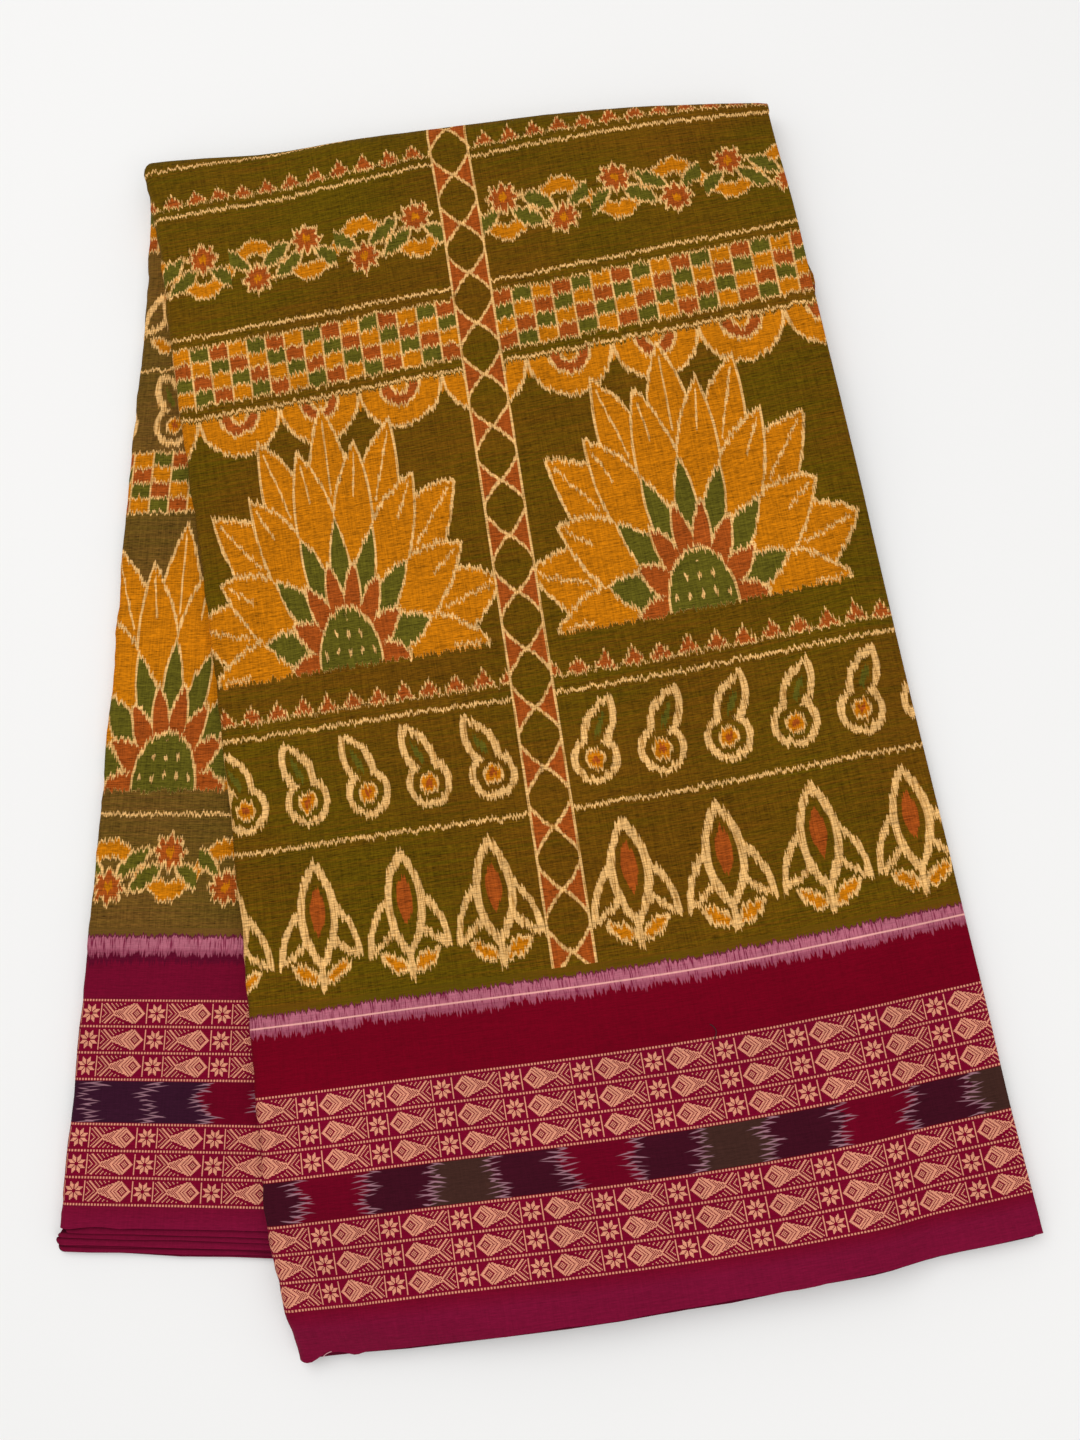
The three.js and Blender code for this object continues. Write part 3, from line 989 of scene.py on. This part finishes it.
def temple_row(dye, u, v, pitch=14, height=9):
    """Stepped points in a row on a straight foot."""
    x = size_of(repeat(u, pitch))
    stair = ((height - v) / (height / 4)).math("FLOOR") * (pitch / 8)
    tooth = most(x - stair, size_of(v - height / 2) - height / 2)
    outlined(dye, tooth, RUST, 0.5)


def diamond_column(dye, x, v, pitch=30):
    """The upright stripe of tied round diamonds between two crisp lines."""
    y = size_of(repeat(v, pitch)) / (pitch / 2)
    diamond = ((size_of(x) * 0.88 / COLUMN_HALF).math("POWER", 1.2) + y.math("POWER", 1.2) - 1) * 7
    stripe = inside(size_of(x) - COLUMN_HALF, 0.15)
    dye.paint(stripe, RUST)
    dye.paint(stripe * inside(size_of(diamond) - 0.62), dye.line)
    dye.paint(stripe * inside(diamond + 0.6), dye.ground)
    dye.paint(inside(size_of(size_of(x) - COLUMN_HALF - 0.2) - 0.6, 0.15), dye.line)


def dyed_field(tree, u, v, ground, rows):
    """rows names each row's motif, where its middle lies along the cloth, and a shift across."""
    dye = Dye(tree, ground, hairlined_cream(u, v))
    fringed = {"figure": feathered(u, v, 1.15), "line": feathered(u, v, 0.85)}
    lean = v.math("SUBTRACT", 150).math("DIVIDE", 410, clamp=True) * COLUMN_LEAN
    off_column = u - COLUMN - lean
    panel = size_of(off_column)
    for motif, middle, shift in rows:
        along = fringed["line" if motif is ragged_line else "figure"]
        motif(dye, panel - shift, along - middle)
    diamond_column(dye, off_column, feathered(u, v, 0.5))
    return dye


FRONT_ROWS = (
    (bud_row, 196, 33),
    (ragged_line, 233, 0),
    (mango_row, 262, 26),
    (ragged_line, 291, 0),
    (temple_row, 299, 10),
    (swag_row, 468, 46),
    (lotus, 322, 92),
    (ragged_line, 470, 0),
    (check_band, 494, 10),
    (ragged_line, 518, 0),
    (creeper, 556, 40),
    (ragged_line, 594, 0),
    (temple_row, 600, 6),
    (ragged_line, 624, 0),
)
BACK_ROWS = (
    (creeper, 172, 16),
    (ragged_line, 200, 0),
    (lotus, 214, 132),
    (check_band, 380, 4),
    (mango_row, 420, 14),
    (ragged_line, 446, 0),
    (bud_row, 486, 12),
    (check_band, 536, 4),
)


def field_material(name, brown, green, rows):
    material, tree, shader = new_cloth(name, 0.8)
    u, v = cloth_coordinates(tree)
    threads = use_group(tree, THREADS, Across=u, Along=v, Slub=1.0)
    dye = dyed_field(tree, u, v, field_ground(u, v, brown, green), rows)
    finish_cloth(tree, shader, dye, threads, 0.0, 0.22, 0.5)
    return material


# ---- The border ----

MAROON = srgb(112, 0, 24)
BACK_MAROON = srgb(113, 8, 40)
HEM_RED = srgb(121, 14, 50)
BAND_RED = srgb(121, 4, 38)
ZARI = srgb(226, 152, 122)
PINK = srgb(180, 102, 120)
PINK_SHADE = srgb(122, 32, 62)
PEACH = srgb(236, 172, 162)
STREAK = srgb(160, 116, 128)
LAST_LINE = srgb(84, 8, 36)  # the border's last threads, against the field
DARK_PURPLE = srgb(62, 12, 28)
BACK_PURPLE = srgb(54, 18, 38)
DARK_OLIVE = srgb(64, 38, 32)
DARK_RED = srgb(104, 2, 28)

MIRROR = 400  # the lower half's border runs the other way, from this place across
REPEAT = 33.5  # one fish and one star
STAR_START = 19.7  # where across the cloth a star's left bar is
CHART_ROWS = 19
CHART_COLUMNS = 60
WORD = 20  # threads of a chart row that are kept in one number


def star_thread(x, y):
    """Whether the figured thread shows, x and y threads from the star's middle."""
    x, y = abs(x), abs(y)
    low, high = min(x, y), max(x, y)
    return 1 <= low <= 3 and 1 <= high - low <= 4


def fish_thread(x, y):
    """The same for the fish, x threads behind its mouth and y from its middle line."""
    y = abs(y)
    body = min(x, 8, 8 - (x - 11) * 0.37)  # half its height: a pointed head, then a long taper
    from_eye = abs(x - 7) + y
    if y <= body and x <= 27:
        if from_eye <= 6:
            return from_eye in (0, 2, 5, 6)
        if x > 7 and from_eye <= 12:
            return from_eye not in (7, 10)
        return y > body - 1 or (x + y) % 2 == 0
    if x - y >= 27:
        return x - y in (27, 28, 31, 35)
    return x > 10 and y > body + 1.4 and (x - y) % 4 == 3 and (x > 24 or x % 3 != 0)


def border_chart():
    """One repeat of the border's figure, as rows of threads: bar, star, bar, fish."""
    chart = np.zeros((CHART_ROWS, CHART_COLUMNS), dtype=int)
    middle = CHART_ROWS // 2
    for row in range(CHART_ROWS):
        for column in range(CHART_COLUMNS):
            y = row - middle
            bar = column in (0, 18) and abs(y) < middle
            star = column < 18 and star_thread(column - 9, y)
            fish = 20 <= column <= 58 and abs(y) < middle and fish_thread(column - 20, y)
            chart[row, column] = bar or star or fish
    return chart


def chart_mask(tree, across, row_share):
    """1 where the chart has a figured thread; across is in repeats, row_share from 0 to 1."""
    ramp = add_node(tree, "ValToRGB")
    ramp.color_ramp.interpolation = "CONSTANT"
    stops = ramp.color_ramp.elements
    bits = 2 ** np.arange(WORD)[::-1]
    for row, threads in enumerate(border_chart()):
        parts = [int(threads[k : k + WORD] @ bits) / 2**WORD for k in (0, WORD, 2 * WORD)]
        stop = stops[0] if row == 0 else stops[1] if row == 1 else stops.new(row / CHART_ROWS)
        stop.position = row / CHART_ROWS
        stop.color = (*parts, 1)
    row = (row_share * CHART_ROWS).math("FLOOR")
    connect(tree, (row + 0.5) / CHART_ROWS, ramp.inputs[0])
    words = outputs_of(tree, "SeparateColor", Wire(tree, ramp.outputs[0]))
    column = (across.math("FRACT") * CHART_COLUMNS).math("FLOOR")
    at = (column / WORD).math("FLOOR")
    value = 0
    for number, word in enumerate(words):
        value = word * inside(size_of(at - number) - 0.5, 0.01) + value
    power = add_node(tree, "Math", 2, (WORD - 1) - (column - at * WORD))
    power.operation = "POWER"
    number = (value * 2**WORD + 0.5) / Wire(tree, power.outputs[0])
    return number.math("FLOOR").math("FLOORED_MODULO", 2.0)


def figured_band(dye, u, v, low, high):
    """Three rows of fish and stars between beaded lines. Returns where the figured threads are."""
    tree = u.tree
    pitch = (high - low) / 3
    line = 1.0
    band = between(v, low - line / 2, high + line / 2, 0.1)
    dye.paint(band, BAND_RED)
    from_line = repeat(v - low, pitch)
    within = ((v - low) / pitch).math("FRACT")
    share = (within * pitch - line / 2 - 0.35) / (pitch - line - 0.7)
    figure = chart_mask(tree, (u - STAR_START) / REPEAT, share)
    figure = figure * inside(size_of(share - 0.5) - 0.499, 0.001) * between(v, low, high, 0.05)
    bead = inside(size_of(repeat(u, 1.5)) - 0.42, 0.08)
    beaded = band * inside(size_of(from_line) - line / 2, 0.12) * bead
    raised = most(figure, beaded)
    dye.paint(raised * 0.96, ZARI)
    return raised


def loose_strokes(along, across, number, pitch, reach, seed):
    """Thin tapered strokes along a place where two colours meet, each at random."""
    tree = along.tree
    line = across / pitch
    place = outputs_of(tree, "CombineXYZ", line.math("FLOOR"), number, seed)[0]
    chance = outputs_of(tree, "TexWhiteNoise", place)[1]
    first, second, third = outputs_of(tree, "SeparateColor", chance)
    share = (along - (first - 0.5) * reach) / (second * 0.9 * reach + 0.35 * reach)
    aside = size_of((line.math("FRACT") - 0.5) * pitch)
    width = (third * 0.16 + 0.2) * (1 - share * share)
    return inside(aside - width, 0.14)


def dark_band(dye, u, v, low, high, start, block, ground, colours):
    """Dark blocks whose ends run into each other in pale strokes. Of each four, colours names those
    that aren't of the ground's colour, by how many blocks past start their middles lie."""
    wander = noise(u, v, 60, 6.5, 12) * 14 + noise(u, v, 60, 2.6, 13) * 4 - 9
    shifted = u + wander + noise(u, v, 60, 0.42, 11) * 7 - 3.5
    band = between(v, low, high, 0.15)
    dye.paint(band, ground)
    for place, colour in colours:
        middle = repeat(shifted - start - place * block, 4 * block)
        dye.paint(band * inside(size_of(middle) - block / 2, 0.5), colour)
    from_end = u + wander - start
    number = (from_end / block + 0.5).math("FLOOR")
    along = repeat(from_end, block)
    for tilt, pitch, seed in ((0.16, 2.0, 1), (-0.13, 2.4, 2)):
        mask = loose_strokes(along, v + along * tilt, number, pitch, 4.8, seed)
        dye.paint(band * mask * 0.9, STREAK)


def border_material(name, plain_red, bands, blocks, grounds, mirrored=False, lined=False):
    """bands gives the heights over the hem where the stripes begin: lower figured band, dark band,
    upper figured band, plain, pink, and the end of pink. blocks is what dark_band takes last."""
    material, tree, shader = new_cloth(name, 0.68)
    u, v = cloth_coordinates(tree)
    if mirrored:
        u = u * -1 + MIRROR
    low_gold, dark, high_gold, plain, pink, end = bands
    threads = use_group(tree, THREADS, Across=u, Along=v, Slub=0.34)
    dye = Dye(tree, plain_red)
    dye.paint(inside(v - low_gold + 2, 6), HEM_RED)
    raised = figured_band(dye, u, v, low_gold + 0.8, dark - 0.8)
    dark_band(dye, u, v, dark, high_gold, *blocks)
    raised = most(raised, figured_band(dye, u, v, high_gold + 0.8, plain - 0.8))
    fringed = feathered(u, v, 0.7)
    hanging = feathered(u, v + 3, 1.2)
    if lined:
        dye.paint(inside(size_of(hanging - pink + 1.5) - 2.6, 0.9) * 0.75, LAST_LINE)
    strip = inside(fringed - end, 0.4) * inside(pink - hanging, 0.6)
    hair = (noise(u, v, 0.5, 6, 31) - 0.5) * 5
    dye.paint(strip, PINK)
    dye.paint(strip * hair.math("MULTIPLY", 0.75, clamp=True), PINK_SHADE)
    dye.paint(strip * inside(v - pink + 0.6, 0.8) * 0.45, PINK_SHADE)
    edge = 0.9 if lined else 0.5
    dye.paint(inside(size_of(fringed - end + 0.4) - edge) * 0.85, LAST_LINE)
    if not lined:
        dye.paint(inside(size_of(v - pink - 0.9) - 0.36, 0.2), PEACH)
    dye.paint(inside(end - fringed), field_ground(u, v, *grounds))
    finish_cloth(tree, shader, dye, threads, raised * 0.9, 0.2, 0.55)
    set_inputs(tree, shader, Roughness=raised * -0.16 + 0.66)
    return material


# ---- Loose threads ----

LOOSE_THREADS = (
    # name, radius, colour, and where it runs: u, v and how high over the cloth, in mm
    (
        "pale_loose_thread", 0.17, (214, 158, 164),
        ((13.0, 0.6, 0.5), (15.6, 2.6, 1.1), (18.2, 2.7, 0.5)),
    ),
    (
        "dark_loose_thread", 0.2, (52, 0, 12),
        ((221.4, 123.6, 0.5), (225.6, 120.6, 1.1), (222.0, 116.6, 0.4)),
    ),
)


def thread_tree():
    """Gives a path a round section, and so makes a thread of it."""
    tree = bpy.data.node_groups.new("thread_along_path", "GeometryNodeTree")
    for label, way, kind in (
        ("Path", "INPUT", "NodeSocketGeometry"),
        ("Radius", "INPUT", "NodeSocketFloat"),
        ("Material", "INPUT", "NodeSocketMaterial"),
        ("Thread", "OUTPUT", "NodeSocketGeometry"),
    ):
        tree.interface.new_socket(label, in_out=way, socket_type=kind)
    given = tree.nodes.new("NodeGroupInput")
    result = tree.nodes.new("NodeGroupOutput")
    curve = tree.nodes.new("GeometryNodeMeshToCurve")
    section = tree.nodes.new("GeometryNodeCurvePrimitiveCircle")
    section.inputs["Resolution"].default_value = 8
    sweep = tree.nodes.new("GeometryNodeCurveToMesh")
    sweep.inputs["Fill Caps"].default_value = True
    realize = tree.nodes.new("GeometryNodeRealizeInstances")
    dressed = tree.nodes.new("GeometryNodeSetMaterial")
    for out_of, into in (
        (given.outputs["Path"], curve.inputs["Mesh"]),
        (given.outputs["Radius"], section.inputs["Radius"]),
        (curve.outputs["Curve"], sweep.inputs["Curve"]),
        (section.outputs["Curve"], sweep.inputs["Profile Curve"]),
        (sweep.outputs["Mesh"], realize.inputs["Geometry"]),
        (realize.outputs["Geometry"], dressed.inputs["Geometry"]),
        (given.outputs["Material"], dressed.inputs["Material"]),
        (dressed.outputs["Geometry"], result.inputs["Thread"]),
    ):
        tree.links.new(out_of, into)
    return tree


def loose_thread(tree, name, radius, colour, bends):
    """A short thread end that has come out of the cloth, bent from its first place to its last."""
    t = np.linspace(0, 1, 15)[:, None]
    first, middle, last = (np.array(bend) for bend in bends)
    u, v, height = (first * (1 - t) ** 2 + 2 * middle * t * (1 - t) + last * t**2).T
    lift = cloth_lift(u, v, "front")
    points = place_upper(u, v, PILE + lift + height)
    mesh = bpy.data.meshes.new(name)
    mesh.from_pydata((points * MM).tolist(), [(k, k + 1) for k in range(len(t) - 1)], [])
    piece = add_object(name, mesh)
    material = new_material(name, Base_Color=srgb(*colour), Roughness=0.7)[0]
    twist = piece.modifiers.new("thread", "NODES")
    twist.node_group = tree
    sockets = {item.name: item.identifier for item in tree.interface.items_tree}
    twist[sockets["Radius"]] = radius * MM
    twist[sockets["Material"]] = material
    evaluated = piece.evaluated_get(bpy.context.evaluated_depsgraph_get())
    made = bpy.data.meshes.new_from_object(evaluated)
    piece.modifiers.clear()
    piece.data = made
    made.shade_smooth()
    return piece


# ---- Floor, light and camera ----

FLOOR_COLOUR = (0.94, 0.94, 0.94, 1)
LIGHTS = (
    # name, place and size in m, power in W
    ("ceiling_light", (-0.5, 0.5, 1.9), 1.8, 18),
    ("window_light", (0.9, -0.9, 1.4), 1.0, 5),
)
SKY_COLOUR, SKY_STRENGTH = (1.0, 0.99, 0.97, 1), 0.56
LENS, SENSOR_WIDTH = 31.25, 36  # in mm
CAMERA_PLACE = (0.0466, -0.1621, 0.620)
CAMERA_TILT = math.radians(13.35)  # from straight down
CAMERA_TURN = math.radians(18.8)  # the level line that it is tipped about, from +X


def make_floor():
    half, height = 3.0, -0.0004  # just under the cloth, but for its lowest puckers
    mesh = bpy.data.meshes.new("floor")
    corners = [(-half, -half), (half, -half), (half, half), (-half, half)]
    mesh.from_pydata([(x, y, height) for x, y in corners], [], [(0, 1, 2, 3)])
    material = new_material("pale_floor", Base_Color=FLOOR_COLOUR, Roughness=0.9)[0]
    mesh.materials.append(material)
    floor = add_object("floor", mesh)


def make_light():
    world = bpy.data.worlds.new("studio")
    world.use_nodes = True
    background = world.node_tree.nodes["Background"]
    background.inputs[0].default_value = SKY_COLOUR
    background.inputs[1].default_value = SKY_STRENGTH
    bpy.context.scene.world = world
    for name, place, size, power in LIGHTS:
        data = bpy.data.lights.new(name, "AREA")
        data.shape = "SQUARE"
        data.size = size
        data.energy = power
        lamp = add_object(name, data)
        lamp.location = place
        towards = -np.array(place) / np.linalg.norm(place)
        lamp.rotation_euler = Vector(towards).to_track_quat("-Z", "Y").to_euler()


def make_camera():
    """Above the cloth, looking down and tipped a little."""
    data = bpy.data.cameras.new("camera")
    data.lens = LENS
    data.sensor_width = SENSOR_WIDTH
    camera = add_object("camera", data)
    turn = Matrix.Rotation(CAMERA_TURN, 4, "Z")
    rotation = turn @ Matrix.Rotation(CAMERA_TILT, 4, "X") @ turn.inverted()
    camera.matrix_world = Matrix.Translation(CAMERA_PLACE) @ rotation
    bpy.context.scene.camera = camera


# ---- Put together ----

FRONT_BANDS = (22, 60.3, 79, 118, 148.3, 155)
BACK_BANDS = (12.5, 50.6, 69.7, 108.7, 133.2, 139.6)

make_floor()
make_light()
make_camera()

front_ikat = field_material("front_field_ikat", BROWN_GROUND, GREEN_GROUND, FRONT_ROWS)
back_ikat = field_material("back_field_ikat", BACK_BROWN, BACK_GREEN, BACK_ROWS)
front_weave = border_material(
    "front_border_weave",
    MAROON,
    FRONT_BANDS,
    (16.5, 31.8, DARK_PURPLE, ((0.5, DARK_RED), (2.5, DARK_OLIVE))),
    (BROWN_GROUND, GREEN_GROUND),
)
back_weave = border_material(
    "back_border_weave",
    BACK_MAROON,
    BACK_BANDS,
    (74.3, 28.8, BACK_PURPLE, ((0.5, DARK_RED),)),
    (BACK_BROWN, BACK_GREEN),
    mirrored=True,
    lined=True,
)

threads = []
path_tree = thread_tree()
for row in LOOSE_THREADS:
    threads.append(loose_thread(path_tree, *row))
    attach(threads[-1], "root")

FIELD = upper_middle - BORDER + TURN_SHOWN
BACK_FIELD = lower_middle - BACK_BORDER
BACK_BORDER_SHOWN = BACK_BORDER + SEAM - BACK_SHORT
PIECES = (
    # maker, material, node, slot, and for a sheet its length and what it rests on
    (front_field, front_ikat, "front_field", "field_cloth", FIELD, "folded_layers"),
    (front_border, front_weave, "front_border", "border_cloth", BORDER + SEAM, "front_hems"),
    (back_field, back_ikat, "back_field", "field_cloth", BACK_FIELD, "folded_layers"),
    (back_border, back_weave, "back_border", "border_cloth", BACK_BORDER_SHOWN, "back_hems"),
    (folded_layers, front_ikat, "folded_layers", "field_layers"),
    (front_hems, front_weave, "front_hems", "border_layers"),
    (back_hems, back_weave, "back_hems", "border_layers"),
)
for make, material, node, slot, *sheet in PIECES:
    piece = make()
    piece.data.materials.append(material)
    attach(piece, "root")
    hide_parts(node)
    if sheet:
        length, under = sheet
        length * MM

bpy.context.scene.view_settings.view_transform = "Standard"
